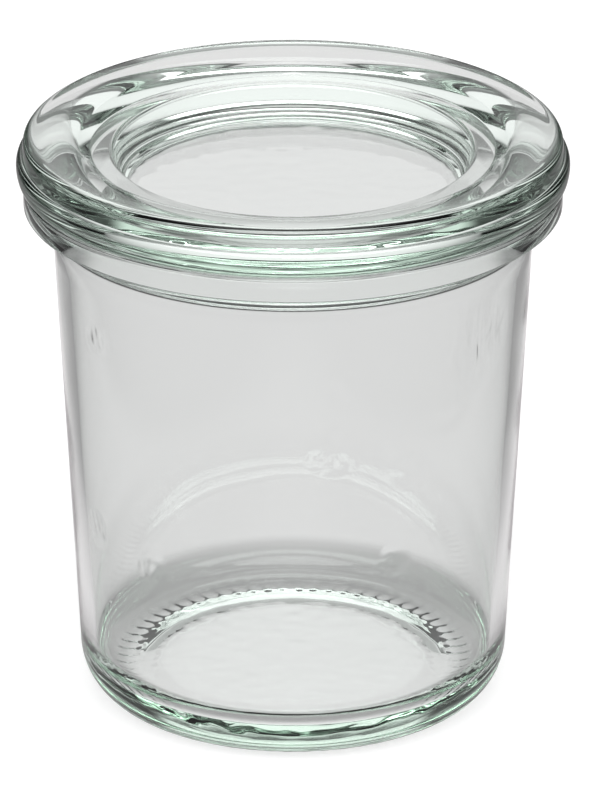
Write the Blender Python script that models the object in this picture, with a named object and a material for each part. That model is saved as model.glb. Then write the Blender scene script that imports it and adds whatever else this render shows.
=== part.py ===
"""Small tapered preserving jar of pressed glass, with its loose glass lid resting on the rim.

Both pieces are turned about the vertical axis. The origin is the centre of the base,
in metres, with +Z up.
"""

import math

import bmesh
import bpy

MM = 0.001

# Overall sizes
LID_RADIUS = 35.0 * MM
RIM_TOP = 69.0 * MM
LID_TOP = 75.5 * MM
SEATING_GAP = 0.3 * MM

# Jar, outside
RIM_RADIUS = 34.15 * MM
RIM_UNDERSIDE = 66.0 * MM
RIM_CORNER = 0.45 * MM
NECK_RADIUS = 30.45 * MM
NECK_FILLET_FOOT = 63.0 * MM
NECK_FILLET_WIDTH = 2.2 * MM
NECK_FILLET_HEIGHT = 2.8 * MM
HEEL_SIDE_RADIUS = 27.45 * MM
HEEL_WIDTH = 5.1 * MM
HEEL_HEIGHT = 6.3 * MM
PUSH_UP_RADIUS = 21.4 * MM
PUSH_UP_SLOPE = 5.0 * MM
PUSH_UP_HEIGHT = 1.2 * MM

# Jar, inside
MOUTH_RADIUS = 28.1 * MM
MOUTH_CORNER = 1.0 * MM
THROAT_BOTTOM = 66.0 * MM
SHOULDER_BOTTOM = 61.0 * MM
WALL_TOP_RADIUS = 28.75 * MM
WALL_FOOT_RADIUS = 25.7 * MM
FLOOR_TOP = 4.2 * MM
FLOOR_CORNER = 4.4 * MM

# Lid, top side
CREST_RADIUS = 32.5 * MM
CREST_RUN = 6.3 * MM
LEDGE_RADIUS = 25.9 * MM
RIDGE_SIDE_RADIUS = 34.1 * MM
RIDGE_ROUNDING = 1.2 * MM
RIDGE_FOOT = 72.9 * MM
FLANGE_BULGE = 71.5 * MM
FLANGE_FLAT_RADIUS = 34.0 * MM
RECESS_LIP_RADIUS = 23.5 * MM
RECESS_LIP_HEIGHT = 73.3 * MM
RECESS_LIP_ROUNDING = 0.9 * MM
RECESS_FOOT_RADIUS = 21.9 * MM
RECESS_FLOOR = 69.6 * MM
RECESS_CORNER = 0.8 * MM

# Lid, underside
PLUG_ROOT_RADIUS = 27.6 * MM
PLUG_RADIUS = 27.3 * MM
PLUG_TOP = 68.9 * MM
PLUG_FOOT_RADIUS = 27.0 * MM
PLUG_BOTTOM = 66.4 * MM
PLUG_CORNER = 1.0 * MM
PLUG_INNER_RADIUS = 21.9 * MM
PANEL_FLAT_RADIUS = 20.8 * MM
PANEL_UNDERSIDE = 66.9 * MM

SEGMENTS = 64
MERGE_DISTANCE = 0.01 * MM
SHARP_ANGLE = math.radians(35.0)


def arc(centre_r, centre_z, width, height, start, end, steps):
    """Points (r, z) along a stretch of an ellipse, between two angles in degrees."""
    points = []
    for step in range(steps + 1):
        angle = math.radians(start + (end - start) * step / steps)
        points.append((centre_r + width * math.cos(angle), centre_z + height * math.sin(angle)))
    return points


def corner(centre_r, centre_z, radius, start, end, steps):
    """Points (r, z) along a round corner."""
    return arc(centre_r, centre_z, radius, radius, start, end, steps)


def jar_profile():
    """Inner floor, inner wall, rim, outer side and base of the jar, in that order."""
    step_width = (WALL_TOP_RADIUS - MOUTH_RADIUS) / 2
    step_height = (THROAT_BOTTOM - SHOULDER_BOTTOM) / 2
    floor = corner(WALL_FOOT_RADIUS - FLOOR_CORNER, FLOOR_TOP + FLOOR_CORNER, FLOOR_CORNER, 270, 360, 4)
    shoulder = arc(WALL_TOP_RADIUS - step_width, SHOULDER_BOTTOM, step_width, step_height, 0, 90, 3)
    throat = arc(MOUTH_RADIUS + step_width, THROAT_BOTTOM, step_width, step_height, 240, 180, 2)
    mouth = corner(MOUTH_RADIUS + MOUTH_CORNER, RIM_TOP - MOUTH_CORNER, MOUTH_CORNER, 180, 90, 3)
    rim_top = corner(RIM_RADIUS - RIM_CORNER, RIM_TOP - RIM_CORNER, RIM_CORNER, 90, 0, 3)
    rim_foot = corner(RIM_RADIUS - RIM_CORNER, RIM_UNDERSIDE + RIM_CORNER, RIM_CORNER, 0, -70, 3)
    fillet = arc(NECK_RADIUS + NECK_FILLET_WIDTH, NECK_FILLET_FOOT,
                 NECK_FILLET_WIDTH, NECK_FILLET_HEIGHT, 100, 180, 4)
    heel = arc(HEEL_SIDE_RADIUS - HEEL_WIDTH, HEEL_HEIGHT, HEEL_WIDTH, HEEL_HEIGHT, 0, -90, 7)
    push_up = [(PUSH_UP_RADIUS, 0.0),
               (PUSH_UP_RADIUS - PUSH_UP_SLOPE, PUSH_UP_HEIGHT),
               (0.0, PUSH_UP_HEIGHT)]
    return ([(0.0, FLOOR_TOP)] + floor + shoulder + throat + mouth
            + rim_top + rim_foot + fillet + heel + push_up)


def lid_profile():
    """Recessed panel, stacking ledge, ridge, flange, plug and underside of the lid, in that order."""
    underside = RIM_TOP + SEATING_GAP
    recess_foot = corner(RECESS_FOOT_RADIUS - RECESS_CORNER, RECESS_FLOOR + RECESS_CORNER,
                         RECESS_CORNER, 270, 340, 3)
    recess_lip = corner(RECESS_LIP_RADIUS, RECESS_LIP_HEIGHT - RECESS_LIP_ROUNDING,
                        RECESS_LIP_ROUNDING, 160, 110, 2)
    ledge = [(LEDGE_RADIUS, RECESS_LIP_HEIGHT)]
    slope = arc(CREST_RADIUS, RECESS_LIP_HEIGHT, CREST_RUN, LID_TOP - RECESS_LIP_HEIGHT, 150, 90, 4)
    ridge_side = arc(CREST_RADIUS, LID_TOP - RIDGE_ROUNDING,
                     RIDGE_SIDE_RADIUS - CREST_RADIUS, RIDGE_ROUNDING, 70, 0, 4)
    flange_top = arc(RIDGE_SIDE_RADIUS, FLANGE_BULGE,
                     LID_RADIUS - RIDGE_SIDE_RADIUS, RIDGE_FOOT - FLANGE_BULGE, 75, 0, 3)
    flange_foot = arc(FLANGE_FLAT_RADIUS, FLANGE_BULGE,
                      LID_RADIUS - FLANGE_FLAT_RADIUS, FLANGE_BULGE - underside, -25, -90, 3)
    plug = [(PLUG_ROOT_RADIUS, underside), (PLUG_RADIUS, PLUG_TOP)]
    plug_foot = corner(PLUG_FOOT_RADIUS - PLUG_CORNER, PLUG_BOTTOM + PLUG_CORNER, PLUG_CORNER, 0, -90, 3)
    panel = [(PLUG_INNER_RADIUS, PLUG_BOTTOM),
             (PANEL_FLAT_RADIUS, PANEL_UNDERSIDE),
             (0.0, PANEL_UNDERSIDE)]
    return ([(0.0, RECESS_FLOOR)] + recess_foot + recess_lip + ledge + slope + ridge_side
            + flange_top + flange_foot + plug + plug_foot + panel)


def glass(name, colour, roughness):
    """Clear pressed glass with the faint green of ordinary soda-lime."""
    material = bpy.data.materials.new(name)
    material.use_nodes = True
    shader = material.node_tree.nodes["Principled BSDF"]
    shader.inputs["Base Color"].default_value = colour
    shader.inputs["Roughness"].default_value = roughness
    shader.inputs["Metallic"].default_value = 0.0
    shader.inputs["IOR"].default_value = 1.52
    shader.inputs["Transmission Weight"].default_value = 1.0
    return material


def turned(name, profile, material):
    """One solid turned about the vertical axis from a profile in the XZ plane."""
    shape = bmesh.new()
    outline = [shape.verts.new((r, 0.0, z)) for r, z in profile]
    for lower, upper in zip(outline, outline[1:]):
        shape.edges.new((lower, upper))
    bmesh.ops.spin(shape, geom=shape.verts[:] + shape.edges[:], axis=(0.0, 0.0, 1.0),
                   cent=(0.0, 0.0, 0.0), angle=math.tau, steps=SEGMENTS, use_merge=True)
    bmesh.ops.remove_doubles(shape, verts=shape.verts[:], dist=MERGE_DISTANCE)
    bmesh.ops.recalc_face_normals(shape, faces=shape.faces[:])
    mesh = bpy.data.meshes.new(name)
    shape.to_mesh(mesh)
    shape.free()
    mesh.shade_smooth()
    mesh.set_sharp_from_angle(angle=SHARP_ANGLE)
    mesh.materials.append(material)
    piece = bpy.data.objects.new(name, mesh)
    bpy.context.scene.collection.objects.link(piece)
    return piece


for leftover in list(bpy.data.objects):
    bpy.data.objects.remove(leftover)

turned("jar", jar_profile(), glass("jar_glass", (0.86, 0.93, 0.89, 1.0), 0.02))
turned("lid", lid_profile(), glass("lid_glass", (0.88, 0.94, 0.90, 1.0), 0.02))
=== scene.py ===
"""A small tapered preserving jar of clear pressed glass with its loose glass lid.

The jar stands empty on a pale studio floor under soft light, seen from the front and a little above.
"""

import math

import bpy
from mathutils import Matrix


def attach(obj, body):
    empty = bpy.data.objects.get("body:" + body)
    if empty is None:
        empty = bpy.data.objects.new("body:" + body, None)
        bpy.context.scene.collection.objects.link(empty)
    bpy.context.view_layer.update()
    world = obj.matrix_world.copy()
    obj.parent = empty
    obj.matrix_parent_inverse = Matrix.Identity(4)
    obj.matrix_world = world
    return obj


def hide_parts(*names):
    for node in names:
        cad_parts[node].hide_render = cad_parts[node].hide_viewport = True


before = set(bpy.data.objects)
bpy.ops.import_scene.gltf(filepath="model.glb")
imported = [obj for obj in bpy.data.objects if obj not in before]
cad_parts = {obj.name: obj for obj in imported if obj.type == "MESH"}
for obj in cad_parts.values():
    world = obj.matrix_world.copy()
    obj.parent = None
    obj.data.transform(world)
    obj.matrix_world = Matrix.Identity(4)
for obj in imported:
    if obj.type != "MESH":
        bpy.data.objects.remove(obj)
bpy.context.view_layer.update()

MM = 0.001

# Jar sizes, in millimetres
RIM_TOP = 69.0
RIM_RADIUS = 34.15
RIM_UNDERSIDE = 66.0
RIM_CORNER = 0.45
NECK_RADIUS = 30.45
NECK_FILLET_FOOT = 63.0
NECK_FILLET_WIDTH = 2.2
NECK_FILLET_HEIGHT = 2.8
HEEL_SIDE_RADIUS = 27.45
HEEL_WIDTH = 5.1
HEEL_HEIGHT = 6.3
PUSH_UP_RADIUS = 21.4
PUSH_UP_SLOPE = 5.0
PUSH_UP_HEIGHT = 1.2
MOUTH_RADIUS = 28.1
MOUTH_CORNER = 1.0
THROAT_BOTTOM = 66.0
SHOULDER_BOTTOM = 61.0
WALL_TOP_RADIUS = 28.75
WALL_FOOT_RADIUS = 25.7
FLOOR_TOP = 4.2
FLOOR_CORNER = 4.4

# Grip ribs under the jar's heel: columns from rib to rib, then sizes in millimetres
KNURL_SPACING = 6
KNURL_BAND = (21.2, 24.6)
KNURL_TOP = 3.0
KNURL_DEPTH = 0.10

# Lid sizes, in millimetres
LID_RADIUS = 35.0
LID_TOP = 75.5
LID_UNDERSIDE = 69.3
CREST_RADIUS = 32.5
CREST_RUN = 6.3
LEDGE_RADIUS = 25.9
LEDGE_CORNER = 0.5
RIDGE_SIDE_RADIUS = 34.1
RIDGE_ROUNDING = 1.2
RIDGE_FOOT = 72.9
FLANGE_BULGE = 71.5
FLANGE_FLAT_RADIUS = 34.0
RECESS_LIP_RADIUS = 23.5
RECESS_LIP_HEIGHT = 73.3
RECESS_LIP_ROUNDING = 0.9
RECESS_FOOT_RADIUS = 21.9
RECESS_FLOOR = 69.6
RECESS_CORNER = 0.8
PLUG_ROOT_RADIUS = 27.6
PLUG_RADIUS = 27.3
PLUG_TOP = 68.9
PLUG_FOOT_RADIUS = 27.0
PLUG_BOTTOM = 66.4
PLUG_CORNER = 1.0
PLUG_INNER_RADIUS = 21.9
PANEL_FLAT_RADIUS = 20.8
PANEL_UNDERSIDE = 66.9

# Fineness of the turned pieces, lengths in millimetres
JAR_COLUMNS = 384
LID_COLUMNS = 320
POINT_SPACING = 1.6
MERGE_DISTANCE = 0.004
SHARP_ANGLE = 30.0

# Glass: its tints, then the sizes in millimetres of the marks that pressing leaves in its surface
GLASS_TINT = "FDFFFE"
GLASS_GREEN = "95EDBA"
GLASS_DEPTH = 6.0
WAVE_SIZE = 11.0
JAR_WAVE_HEIGHT = 0.06
LID_WAVE_HEIGHT = 0.03
RIPPLE_SIZE = 2.4
JAR_RIPPLE_HEIGHT = 0.05
LID_RIPPLE_HEIGHT = 0.012
JAR_DISC_RADIUS = 21.0
LID_DISC_RADIUS = 21.5
DISC_EDGE = 1.0
CREASE_SIZE = 2.6
CREASE_STRETCH = 0.45
CREASE_HEIGHT = 0.13
CREASE_HEART = 0.3

# Creases in the jar's wall, in millimetres: place, then spread
CREASES = (
    (23.0, -19.3, 55.0, 7.5),
    (19.6, -22.0, 47.0, 3.5),
    (14.3, -25.0, 40.5, 3.5),
    (5.1, -28.3, 44.5, 4.5),
    (5.4, -28.2, 52.0, 3.0),
    (-24.4, -16.5, 54.0, 2.5),
    (-24.9, -14.5, 27.0, 3.0),
    (-17.5, -21.0, 25.0, 2.5),
    (12.5, -24.5, 27.5, 2.5),
)

# Floor, in metres: a painted glowing oval of light under the jar, the painted shade close round its base,
# and where the painted light ends
TABLE_RADIUS = 3.0
OVAL_STRETCH = (1.0, 0.27, 1.0)
OVAL_SHIFT = (0.0, -0.046, 0.0)
OVAL_EDGE = (0.055, 0.080)
# Painted glow of the oval, then of the table round it
PAINTED_OVAL_GLOW = "E2DEE0"
PAINTED_GLOW_AROUND = "959394"
SHADE_INNER_EDGE = (0.0195, 0.0235)
SHADE_OUTER_EDGE = (0.027, 0.046)
SHADE_LEVEL = 0.5
LIGHT_END = (0.25, 0.38)
LIGHT_END_LEVEL = 0.05
TABLE_GLOW = "DADADA"
TABLE_WHITE = "AAAAAA"
TABLE_DIM = "212121"

# Camera
LENS_MM = 360.0
CAMERA_PLACE = (0.0, -0.9405, 0.4412)
CAMERA_TILT = 66.83
CAMERA_SHIFT = 0.0043

# Light, by the angle round from straight behind the jar and by the height above the horizon
BEHIND = (28.0, 34.0)
AHEAD = (106.0, 114.0)
BACK_RISE = (0.05, 0.40)
BACK_LIGHT = (0.10, 0.85)
FRONT_LIGHT = 0.26
SIDE_RISE = (0.25, 0.50)
SIDE_LIGHT = 0.15
TOP_RISE = (0.50, 0.62)
TOP_LIGHT = 3.2
BACKDROP = "EEEEEE"

SMOOTH = {"interpolation_type": "SMOOTHSTEP"}


def linear(hex_colour):
    """An sRGB hex colour as linear RGBA."""
    channels = []
    for start in (0, 2, 4):
        value = int(hex_colour[start:start + 2], 16) / 255
        channels.append(value / 12.92 if value <= 0.04045 else ((value + 0.055) / 1.055) ** 2.4)
    return (*channels, 1.0)


def add_node(tree, kind, settings=None, inputs=None):
    """One shader node with its settings, each input given as a number, a colour or a link."""
    node = tree.nodes.new(kind)
    for name, value in (settings or {}).items():
        setattr(node, name, value)
    for name, value in (inputs or {}).items():
        if isinstance(value, bpy.types.NodeSocket):
            tree.links.new(value, node.inputs[name])
        else:
            node.inputs[name].default_value = value
    return node


# Outlines, as (radius, height)
def arc(centre_r, centre_z, width, height, start, end, steps):
    """Points along a stretch of an ellipse, between two angles in degrees."""
    points = []
    for step in range(steps + 1):
        angle = math.radians(start + (end - start) * step / steps)
        points.append((centre_r + width * math.cos(angle), centre_z + height * math.sin(angle)))
    return points


def corner(centre_r, centre_z, radius, start, end, steps):
    """Points along a round corner."""
    return arc(centre_r, centre_z, radius, radius, start, end, steps)


def straight(start, end, steps):
    """Evenly spaced points between two points, leaving out both ends."""
    return [(start[0] + (end[0] - start[0]) * step / steps, start[1] + (end[1] - start[1]) * step / steps)
            for step in range(1, steps)]


def joined(*stretches):
    """Stretches of outline in order, with evenly spaced points along each long straight between them."""
    outline = []
    for stretch in stretches:
        if outline:
            gap = math.dist(outline[-1], stretch[0])
            outline += straight(outline[-1], stretch[0], max(1, round(gap / POINT_SPACING)))
        outline += stretch
    return outline


def jar_outline():
    """Inner floor, inner wall, rim, outer side and base of the jar, in that order."""
    step_width = (WALL_TOP_RADIUS - MOUTH_RADIUS) / 2
    step_height = (THROAT_BOTTOM - SHOULDER_BOTTOM) / 2
    return joined(
        [(0.0, FLOOR_TOP)],
        corner(WALL_FOOT_RADIUS - FLOOR_CORNER, FLOOR_TOP + FLOOR_CORNER, FLOOR_CORNER, 270, 360, 12),
        arc(WALL_TOP_RADIUS - step_width, SHOULDER_BOTTOM, step_width, step_height, 0, 90, 6),
        arc(MOUTH_RADIUS + step_width, THROAT_BOTTOM, step_width, step_height, 255, 180, 5),
        corner(MOUTH_RADIUS + MOUTH_CORNER, RIM_TOP - MOUTH_CORNER, MOUTH_CORNER, 180, 90, 7),
        corner(RIM_RADIUS - RIM_CORNER, RIM_TOP - RIM_CORNER, RIM_CORNER, 90, 0, 6),
        corner(RIM_RADIUS - RIM_CORNER, RIM_UNDERSIDE + RIM_CORNER, RIM_CORNER, 0, -85, 6),
        arc(NECK_RADIUS + NECK_FILLET_WIDTH, NECK_FILLET_FOOT,
            NECK_FILLET_WIDTH, NECK_FILLET_HEIGHT, 100, 180, 10),
        arc(HEEL_SIDE_RADIUS - HEEL_WIDTH, HEEL_HEIGHT, HEEL_WIDTH, HEEL_HEIGHT, 0, -90, 20),
        [(PUSH_UP_RADIUS, 0.0),
         (PUSH_UP_RADIUS - PUSH_UP_SLOPE * 0.15, PUSH_UP_HEIGHT * 0.08),
         (PUSH_UP_RADIUS - PUSH_UP_SLOPE * 0.4, PUSH_UP_HEIGHT * 0.36),
         (PUSH_UP_RADIUS - PUSH_UP_SLOPE * 0.7, PUSH_UP_HEIGHT * 0.76),
         (PUSH_UP_RADIUS - PUSH_UP_SLOPE, PUSH_UP_HEIGHT * 0.96),
         (PUSH_UP_RADIUS - PUSH_UP_SLOPE * 1.4, PUSH_UP_HEIGHT)],
        [(0.0, PUSH_UP_HEIGHT)],
    )


def lid_outline():
    """Recessed panel, stacking ridge, flange, plug and underside of the lid, in that order."""
    return joined(
        [(0.0, RECESS_FLOOR)],
        corner(RECESS_FOOT_RADIUS - RECESS_CORNER, RECESS_FLOOR + RECESS_CORNER,
               RECESS_CORNER, 270, 340, 6),
        corner(RECESS_LIP_RADIUS, RECESS_LIP_HEIGHT - RECESS_LIP_ROUNDING,
               RECESS_LIP_ROUNDING, 160, 100, 6),
        corner(LEDGE_RADIUS - LEDGE_CORNER, RECESS_LIP_HEIGHT + LEDGE_CORNER, LEDGE_CORNER, 275, 310, 3),
        arc(CREST_RADIUS, RECESS_LIP_HEIGHT, CREST_RUN, LID_TOP - RECESS_LIP_HEIGHT, 150, 90, 12),
        arc(CREST_RADIUS, LID_TOP - RIDGE_ROUNDING,
            RIDGE_SIDE_RADIUS - CREST_RADIUS, RIDGE_ROUNDING, 80, 0, 14),
        arc(RIDGE_SIDE_RADIUS, FLANGE_BULGE,
            LID_RADIUS - RIDGE_SIDE_RADIUS, RIDGE_FOOT - FLANGE_BULGE, 80, 0, 14),
        arc(FLANGE_FLAT_RADIUS, FLANGE_BULGE,
            LID_RADIUS - FLANGE_FLAT_RADIUS, FLANGE_BULGE - LID_UNDERSIDE, -7, -90, 14),
        [(PLUG_ROOT_RADIUS, LID_UNDERSIDE), (PLUG_RADIUS, PLUG_TOP)],
        corner(PLUG_FOOT_RADIUS - PLUG_CORNER, PLUG_BOTTOM + PLUG_CORNER, PLUG_CORNER, 0, -90, 7),
        [(PLUG_INNER_RADIUS, PLUG_BOTTOM), (PLUG_INNER_RADIUS - 0.3, PLUG_BOTTOM + 0.08),
         (PANEL_FLAT_RADIUS + 0.3, PANEL_UNDERSIDE - 0.08), (PANEL_FLAT_RADIUS, PANEL_UNDERSIDE)],
        [(0.0, PANEL_UNDERSIDE)],
    )


# Modelling
def turned(name, outline, columns):
    """A solid turned about the vertical axis, from a point drawn out along half its section."""
    bpy.ops.object.select_all(action="DESELECT")
    bpy.ops.mesh.primitive_plane_add(size=2 * MM, location=(0.0, 0.0, 0.0))
    piece = bpy.context.object
    piece.name = piece.data.name = name
    bpy.ops.object.mode_set(mode="EDIT")
    bpy.ops.mesh.select_mode(type="VERT")
    bpy.ops.mesh.select_all(action="SELECT")
    bpy.ops.mesh.merge(type="CENTER")
    bpy.ops.transform.translate(value=(outline[0][0] * MM, 0.0, outline[0][1] * MM))
    for (r0, z0), (r1, z1) in zip(outline, outline[1:]):
        step = ((r1 - r0) * MM, 0.0, (z1 - z0) * MM)
        bpy.ops.mesh.extrude_vertices_move(TRANSFORM_OT_translate={"value": step})
    bpy.ops.mesh.select_all(action="SELECT")
    bpy.ops.mesh.spin(steps=columns, angle=math.tau, center=(0.0, 0.0, 0.0), axis=(0.0, 0.0, 1.0))
    bpy.ops.mesh.select_all(action="SELECT")
    bpy.ops.mesh.remove_doubles(threshold=MERGE_DISTANCE * MM)
    bpy.ops.mesh.normals_make_consistent(inside=False)
    bpy.ops.object.mode_set(mode="OBJECT")
    bpy.ops.object.shade_smooth_by_angle(angle=math.radians(SHARP_ANGLE))
    return piece


def knurl(piece, columns, spacing, band, depth):
    """Sinks half of each group of columns between two radii on the heel, leaving short ribs between."""
    bpy.ops.object.mode_set(mode="EDIT")
    bpy.ops.mesh.select_all(action="DESELECT")
    bpy.ops.object.mode_set(mode="OBJECT")
    for point in piece.data.vertices:
        x, y, z = point.co
        column = round(math.atan2(y, x) / (math.tau / columns))
        groove = column % spacing < spacing // 2
        point.select = band[0] < math.hypot(x, y) / MM < band[1] and z < KNURL_TOP * MM and groove
    bpy.ops.object.mode_set(mode="EDIT")
    bpy.ops.transform.shrink_fatten(value=-depth * MM)
    bpy.ops.object.mode_set(mode="OBJECT")


# Glass
def pressed_glass(name, wave_height, disc_radius, ripple_height, creases=()):
    """Pressed soda-lime glass: clear and bright when thin, bottle green where the eye looks along it.

    The waves bend what is seen through a wall a little, the ripple breaks up the long reflections
    inside the flat disc, and the creases give the small grey smudges of a pressed wall.
    """
    material = bpy.data.materials.new(name)
    material.use_nodes = True
    tree = material.node_tree
    shader = tree.nodes["Principled BSDF"]
    shader.inputs["Base Color"].default_value = linear(GLASS_TINT)
    shader.inputs["Roughness"].default_value = 0.0
    shader.inputs["IOR"].default_value = 1.52
    shader.inputs["Transmission Weight"].default_value = 1.0
    depth = add_node(tree, "ShaderNodeVolumeAbsorption", inputs={
        "Color": linear(GLASS_GREEN),
        "Density": GLASS_DEPTH,
    })
    tree.links.new(depth.outputs["Volume"], tree.nodes["Material Output"].inputs["Volume"])
    place = add_node(tree, "ShaderNodeTexCoord").outputs["Object"]

    # Slow waves left by the mould
    waves = add_node(tree, "ShaderNodeTexNoise", inputs={
        "Vector": place,
        "Scale": 1.0 / (WAVE_SIZE * MM),
        "Detail": 0.0,
    })
    height = add_node(tree, "ShaderNodeMath", {"operation": "MULTIPLY"}, {
        0: waves.outputs["Fac"],
        1: wave_height,
    })

    # A finer ripple on the flat disc in the middle, where the glass chilled against the mould
    flat = add_node(tree, "ShaderNodeMapping", inputs={"Vector": place, "Scale": (1.0, 1.0, 0.0)})
    reach = add_node(tree, "ShaderNodeVectorMath", {"operation": "LENGTH"}, {0: flat.outputs[0]})
    disc = add_node(tree, "ShaderNodeMapRange", SMOOTH, {
        0: reach.outputs["Value"],
        1: (disc_radius - DISC_EDGE) * MM,
        2: disc_radius * MM,
        3: 1.0,
        4: 0.0,
    })
    ripple = add_node(tree, "ShaderNodeTexNoise", inputs={
        "Vector": place,
        "Scale": 1.0 / (RIPPLE_SIZE * MM),
        "Detail": 0.0,
    })
    chilled = add_node(tree, "ShaderNodeMath", {"operation": "MULTIPLY"}, {
        0: ripple.outputs["Fac"],
        1: disc.outputs[0],
    })
    rippled = add_node(tree, "ShaderNodeMath", {"operation": "MULTIPLY"}, {
        0: chilled.outputs[0],
        1: ripple_height,
    })
    height = add_node(tree, "ShaderNodeMath", {"operation": "ADD"}, {
        0: height.outputs[0],
        1: rippled.outputs[0],
    })

    # Creases, drawn out along the height, only in the given places
    if creases:
        drawn = add_node(tree, "ShaderNodeMapping", inputs={
            "Vector": place,
            "Scale": (1.0, 1.0, CREASE_STRETCH),
        })
        folds = add_node(tree, "ShaderNodeTexNoise", inputs={
            "Vector": drawn.outputs[0],
            "Scale": 1.0 / (CREASE_SIZE * MM),
            "Detail": 1.0,
            "Distortion": 0.6,
        })
        marked = 0.0
        for x, y, z, spread in creases:
            gap = add_node(tree, "ShaderNodeVectorMath", {"operation": "DISTANCE"}, {
                0: place,
                1: (x * MM, y * MM, z * MM),
            })
            near = add_node(tree, "ShaderNodeMapRange", SMOOTH, {
                0: gap.outputs["Value"],
                1: CREASE_HEART * spread * MM,
                2: spread * MM,
                3: 1.0,
                4: 0.0,
            })
            marked = add_node(tree, "ShaderNodeMath", {"operation": "MAXIMUM"}, {
                0: near.outputs[0],
                1: marked,
            }).outputs[0]
        creased = add_node(tree, "ShaderNodeMath", {"operation": "MULTIPLY"}, {
            0: folds.outputs["Fac"],
            1: marked,
        })
        raised = add_node(tree, "ShaderNodeMath", {"operation": "MULTIPLY"}, {
            0: creased.outputs[0],
            1: CREASE_HEIGHT,
        })
        height = add_node(tree, "ShaderNodeMath", {"operation": "ADD"}, {
            0: height.outputs[0],
            1: raised.outputs[0],
        })

    surface = add_node(tree, "ShaderNodeBump", inputs={
        "Strength": 1.0,
        "Distance": MM,
        "Height": height.outputs[0],
    })
    tree.links.new(surface.outputs[0], shader.inputs["Normal"])
    return material


jar_glass = pressed_glass("pressed soda-lime glass, jar", JAR_WAVE_HEIGHT,
                          JAR_DISC_RADIUS, JAR_RIPPLE_HEIGHT, CREASES)
lid_glass = pressed_glass("pressed soda-lime glass, lid", LID_WAVE_HEIGHT,
                          LID_DISC_RADIUS, LID_RIPPLE_HEIGHT)

jar = turned("glass_jar", jar_outline(), JAR_COLUMNS)
knurl(jar, JAR_COLUMNS, KNURL_SPACING, KNURL_BAND, KNURL_DEPTH)
jar.data.materials.append(jar_glass)
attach(jar, "root")
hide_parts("jar")

lid = turned("glass_lid", lid_outline(), LID_COLUMNS)
lid.data.materials.append(lid_glass)
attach(lid, "root")
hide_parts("lid")


# Floor and light
def studio_floor():
    """A wide matt white table top whose emission paints a pool of light in a broad oval under and before
    the jar.
    """
    bpy.ops.object.select_all(action="DESELECT")
    bpy.ops.mesh.primitive_circle_add(vertices=96, radius=TABLE_RADIUS, fill_type="NGON",
                                      location=(0.0, 0.0, 0.0))
    floor = bpy.context.object
    floor.name = floor.data.name = "studio_floor"
    material = bpy.data.materials.new("matt white laminate")
    material.use_nodes = True
    tree = material.node_tree
    shader = tree.nodes["Principled BSDF"]
    shader.inputs["Roughness"].default_value = 0.8
    shader.inputs["Specular IOR Level"].default_value = 0.2
    shader.inputs["Emission Strength"].default_value = 1.0
    place = add_node(tree, "ShaderNodeTexCoord").outputs["Object"]

    # Painted light: the table glows brightly in an oval under the jar and more dimly round it
    oval = add_node(tree, "ShaderNodeMapping", inputs={
        "Vector": place,
        "Scale": OVAL_STRETCH,
        "Location": OVAL_SHIFT,
    })
    reach = add_node(tree, "ShaderNodeVectorMath", {"operation": "LENGTH"}, {0: oval.outputs[0]})
    glow = add_node(tree, "ShaderNodeValToRGB", inputs={0: reach.outputs["Value"]})
    glow.color_ramp.interpolation = "EASE"
    for stop, position, colour in zip(glow.color_ramp.elements, OVAL_EDGE, (PAINTED_OVAL_GLOW, PAINTED_GLOW_AROUND)):
        stop.position = position
        stop.color = linear(colour)

    # Painted shadow: the table's glow is dimmed in a soft ring close round the jar, standing in for the
    # shade its thick base throws
    from_jar = add_node(tree, "ShaderNodeVectorMath", {"operation": "LENGTH"}, {0: place})
    inner = add_node(tree, "ShaderNodeMapRange", SMOOTH, {
        0: from_jar.outputs["Value"],
        1: SHADE_INNER_EDGE[0],
        2: SHADE_INNER_EDGE[1],
        3: 0.0,
        4: 1.0,
    })
    outer = add_node(tree, "ShaderNodeMapRange", SMOOTH, {
        0: from_jar.outputs["Value"],
        1: SHADE_OUTER_EDGE[0],
        2: SHADE_OUTER_EDGE[1],
        3: 1.0,
        4: 0.0,
    })
    ring = add_node(tree, "ShaderNodeMath", {"operation": "MULTIPLY"}, {
        0: inner.outputs[0],
        1: outer.outputs[0],
    })
    shaded = add_node(tree, "ShaderNodeMapRange", inputs={
        0: ring.outputs[0],
        1: 0.0,
        2: 1.0,
        3: 1.0,
        4: SHADE_LEVEL,
    })

    # The painted light on the table top falls off a third of a metre away
    far = add_node(tree, "ShaderNodeMapRange", SMOOTH, {
        0: from_jar.outputs["Value"],
        1: LIGHT_END[0],
        2: LIGHT_END[1],
        3: 1.0,
        4: LIGHT_END_LEVEL,
    })
    level = add_node(tree, "ShaderNodeMath", {"operation": "MULTIPLY"}, {
        0: shaded.outputs[0],
        1: far.outputs[0],
    })
    glowing = add_node(tree, "ShaderNodeVectorMath", {"operation": "SCALE"}, {
        0: glow.outputs[0],
        3: level.outputs[0],
    })

    # Looked at straight, the table is plain and pale
    path = add_node(tree, "ShaderNodeLightPath")
    seen = add_node(tree, "ShaderNodeMix", {"data_type": "RGBA"}, {
        0: path.outputs["Is Camera Ray"],
        6: glowing.outputs[0],
        7: linear(TABLE_GLOW),
    })
    shade = add_node(tree, "ShaderNodeMix", {"data_type": "RGBA"}, {
        0: path.outputs["Is Camera Ray"],
        6: linear(TABLE_DIM),
        7: linear(TABLE_WHITE),
    })
    tree.links.new(shade.outputs[2], shader.inputs["Base Color"])
    # Painted light: the floor's emission, an even glow to the camera and the painted oval, shade and
    # fall-off to everything else
    tree.links.new(seen.outputs[2], shader.inputs["Emission Color"])
    floor.data.materials.append(material)
    return floor


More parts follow.
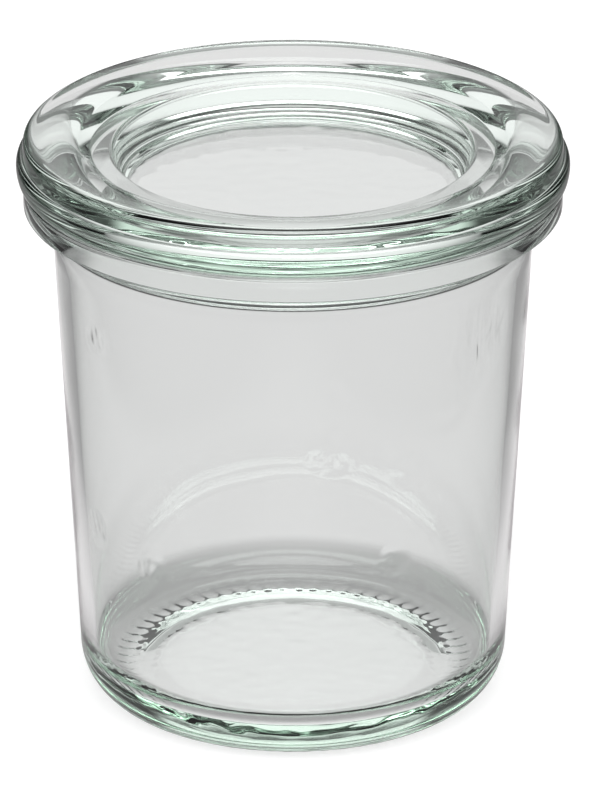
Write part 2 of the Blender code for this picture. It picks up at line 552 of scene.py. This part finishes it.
def studio_light():
    """Soft light all round: strong from high in front, broad from behind, dim at the sides and low down."""
    world = bpy.data.worlds.new("studio")
    bpy.context.scene.world = world
    world.use_nodes = True
    tree = world.node_tree
    tree.nodes.clear()
    place = add_node(tree, "ShaderNodeTexCoord")
    parts = add_node(tree, "ShaderNodeSeparateXYZ", inputs={0: place.outputs["Generated"]})
    height = parts.outputs["Z"]
    side = add_node(tree, "ShaderNodeMath", {"operation": "ABSOLUTE"}, {0: parts.outputs["X"]})
    round_from_back = add_node(tree, "ShaderNodeMath", {"operation": "ARCTAN2"}, {
        0: side.outputs[0],
        1: parts.outputs["Y"],
    })

    # A soft box behind the jar
    behind = add_node(tree, "ShaderNodeMapRange", SMOOTH, {
        0: round_from_back.outputs[0],
        1: math.radians(BEHIND[0]),
        2: math.radians(BEHIND[1]),
        3: 1.0,
        4: 0.0,
    })
    back_rise = add_node(tree, "ShaderNodeMapRange", SMOOTH, {
        0: height,
        1: BACK_RISE[0],
        2: BACK_RISE[1],
        3: BACK_LIGHT[0],
        4: BACK_LIGHT[1],
    })
    back = add_node(tree, "ShaderNodeMath", {"operation": "MULTIPLY"}, {
        0: back_rise.outputs[0],
        1: behind.outputs[0],
    })

    # The room in front, dim below and bright overhead
    ahead = add_node(tree, "ShaderNodeMapRange", SMOOTH, {
        0: round_from_back.outputs[0],
        1: math.radians(AHEAD[0]),
        2: math.radians(AHEAD[1]),
        3: 0.0,
        4: 1.0,
    })
    front_rise = add_node(tree, "ShaderNodeMapRange", SMOOTH, {
        0: height,
        1: TOP_RISE[0],
        2: TOP_RISE[1],
        3: FRONT_LIGHT,
        4: TOP_LIGHT,
    })
    front = add_node(tree, "ShaderNodeMath", {"operation": "MULTIPLY"}, {
        0: front_rise.outputs[0],
        1: ahead.outputs[0],
    })

    # A little light from above on every side
    above = add_node(tree, "ShaderNodeMapRange", SMOOTH, {
        0: height,
        1: SIDE_RISE[0],
        2: SIDE_RISE[1],
        3: 0.0,
        4: SIDE_LIGHT,
    })
    boxes = add_node(tree, "ShaderNodeMath", {"operation": "ADD"}, {
        0: back.outputs[0],
        1: front.outputs[0],
    })
    strength = add_node(tree, "ShaderNodeMath", {"operation": "ADD"}, {
        0: boxes.outputs[0],
        1: above.outputs[0],
    })
    sky = add_node(tree, "ShaderNodeBackground", inputs={
        "Color": linear("FFFFFF"),
        "Strength": strength.outputs[0],
    })

    # Looked at straight, it is a plain pale backdrop
    backdrop = add_node(tree, "ShaderNodeBackground", inputs={"Color": linear(BACKDROP)})
    path = add_node(tree, "ShaderNodeLightPath")
    seen = add_node(tree, "ShaderNodeMixShader", inputs={
        0: path.outputs["Is Camera Ray"],
        1: sky.outputs[0],
        2: backdrop.outputs[0],
    })
    add_node(tree, "ShaderNodeOutputWorld", inputs={"Surface": seen.outputs[0]})


studio_floor()
studio_light()

scene = bpy.context.scene
scene.view_settings.view_transform = "Standard"
scene.cycles.max_bounces = 20
scene.cycles.transmission_bounces = 18
scene.cycles.glossy_bounces = 10
scene.cycles.diffuse_bounces = 2

bpy.ops.object.camera_add(location=CAMERA_PLACE, rotation=(math.radians(CAMERA_TILT), 0.0, 0.0))
camera = bpy.context.object
camera.name = "camera"
camera.data.lens = LENS_MM
camera.data.shift_x = CAMERA_SHIFT
camera.data.clip_start = 0.01
scene.camera = camera
